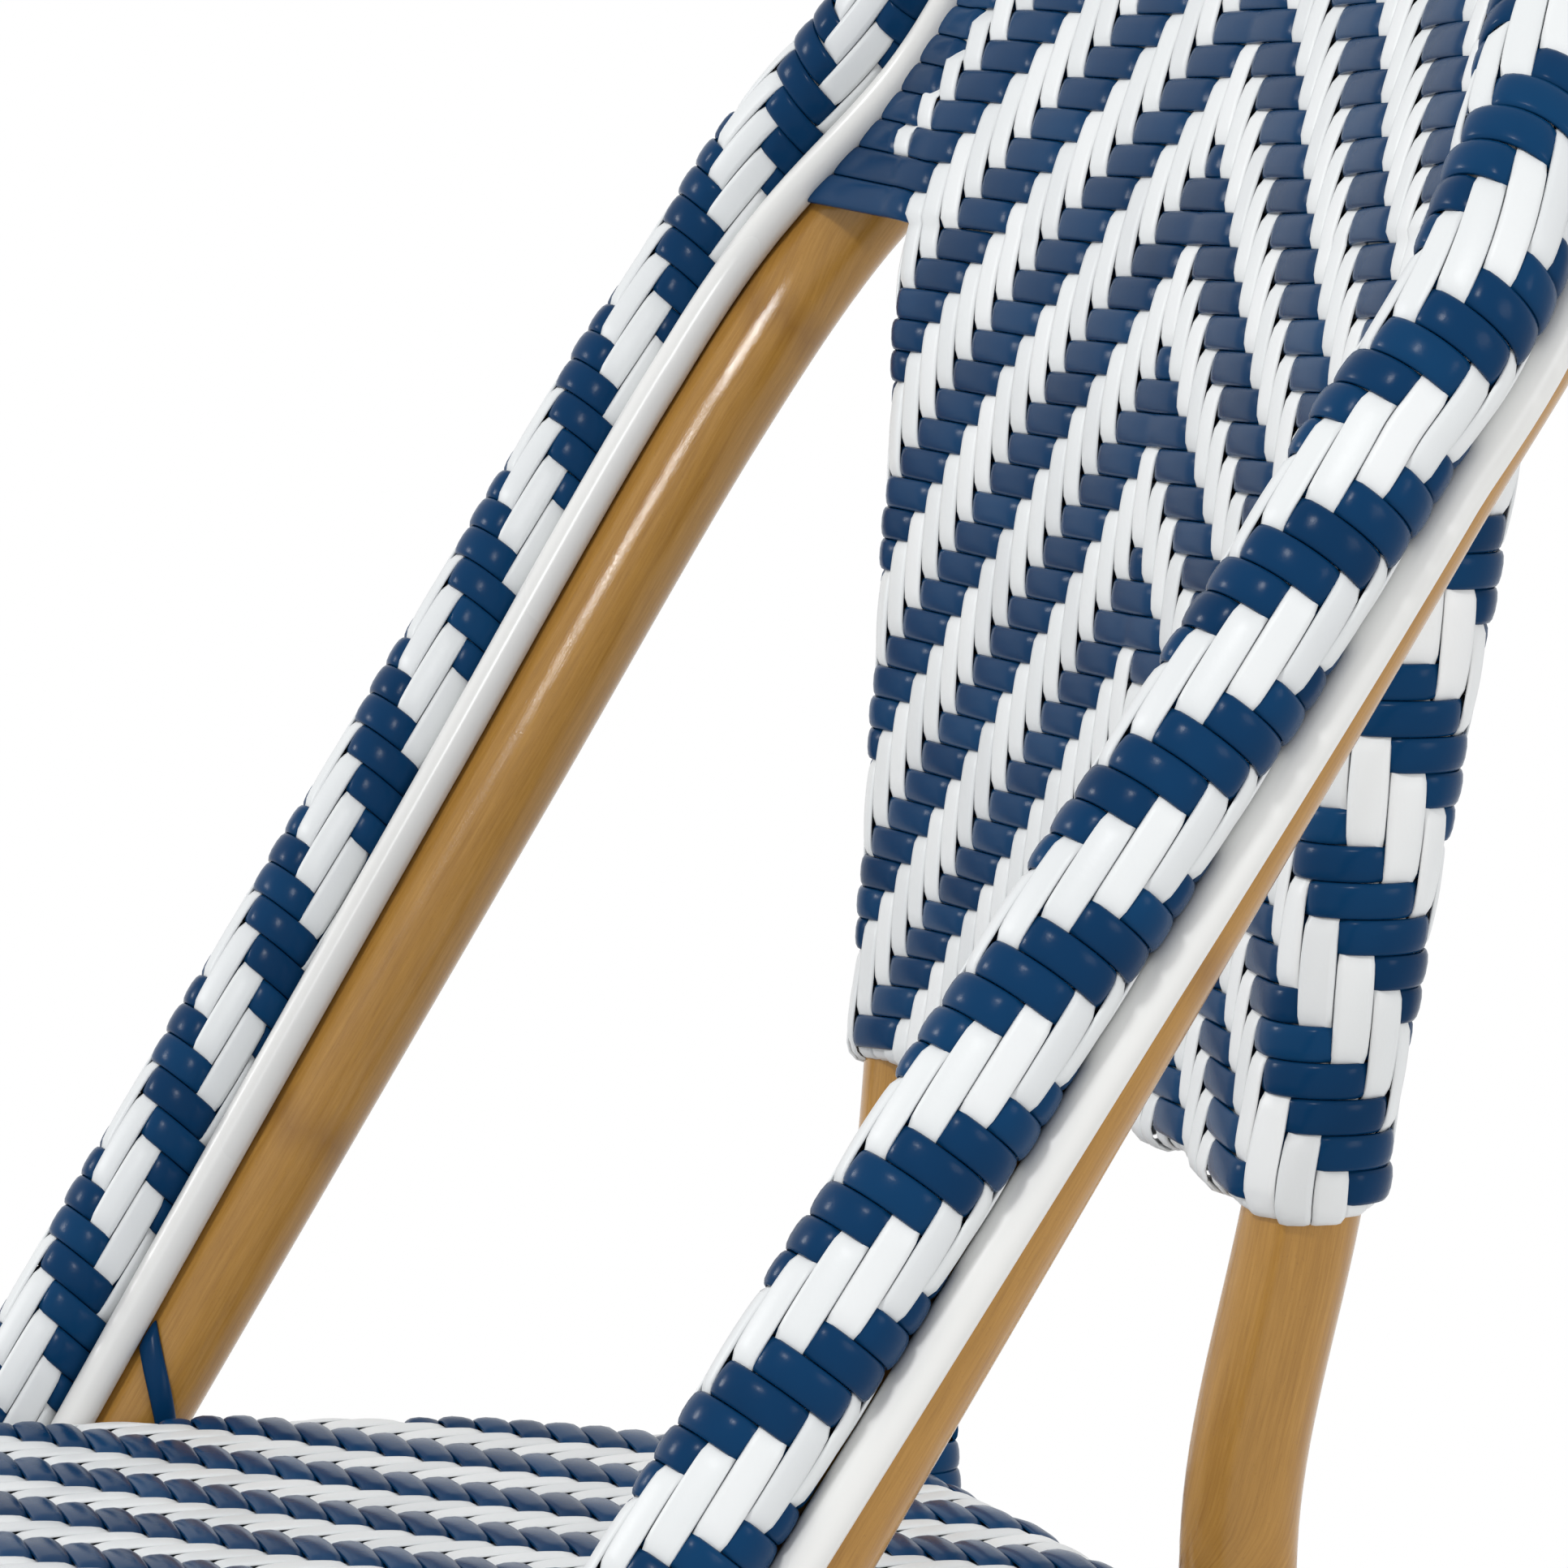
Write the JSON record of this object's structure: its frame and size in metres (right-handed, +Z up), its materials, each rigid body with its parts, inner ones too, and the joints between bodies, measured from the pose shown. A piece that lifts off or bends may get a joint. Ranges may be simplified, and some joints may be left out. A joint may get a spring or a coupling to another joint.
{
  "type": "bistro chair",
  "caption": "Bistro armchair: a bamboo-look tube frame, a hoop that forms the arms and the arched back, and a seat and back woven from navy and white plastic strand.",
  "frame": {"origin": "on the floor, below the middle of the chair's overall width and depth", "axes": "+Z up; the sitter faces -Y; +X is the sitter's left"},
  "size_m": [0.5054, 0.5384, 0.9094],
  "materials": {
    "bamboo_look_tube": "satin paint grained like tan bamboo",
    "bare_tube": "plain mill finish, hidden by the weave",
    "navy_strand": "glossy flat strand",
    "mixed_strand": "navy and white flat strand, twill weave",
    "white_plastic": "satin",
    "black_plastic": "fine matt"
  },
  "bodies": {
    "root": {"rear_leg_left": "bamboo_look_tube", "rear_leg_right": "bamboo_look_tube", "front_leg_left": "bamboo_look_tube", "front_leg_right": "bamboo_look_tube", "side_bow_left": "bamboo_look_tube", "side_bow_right": "bamboo_look_tube", "arm_tube_left": "bamboo_look_tube", "arm_tube_right": "bamboo_look_tube", "front_bow": "bamboo_look_tube", "rear_bow": "bamboo_look_tube", "crest_tube": "bamboo_look_tube", "rear_glide_left": "black_plastic", "rear_glide_right": "black_plastic", "front_glide_left": "black_plastic", "front_glide_right": "black_plastic", "arm_tube_plug_left": "black_plastic", "arm_tube_plug_right": "black_plastic", "seat_rail": "bare_tube", "seat_back_rail": "bare_tube", "seat_bar_rear": "bare_tube", "seat_bar_front": "bare_tube", "roll_core_crest": "bare_tube", "panel_rail": "bare_tube", "arm_saddle_left": "bare_tube", "arm_saddle_right": "bare_tube", "roll_core_left": "bare_tube", "roll_core_right": "bare_tube", "roll_plug_left": "navy_strand", "roll_plug_right": "navy_strand", "roll_weave_left": "navy_strand", "roll_weave_right": "navy_strand", "upright_lashing_left": "navy_strand", "upright_lashing_right": "navy_strand", "roll_weave_crest": "navy_strand", "inner_rod_left": "white_plastic", "inner_rod_right": "white_plastic", "inner_rod_crest": "white_plastic", "outer_rod_left": "white_plastic", "outer_rod_right": "white_plastic", "outer_rod_crest": "white_plastic", "woven_seat": "mixed_strand", "woven_back": "mixed_strand"}
  },
  "joints": []
}
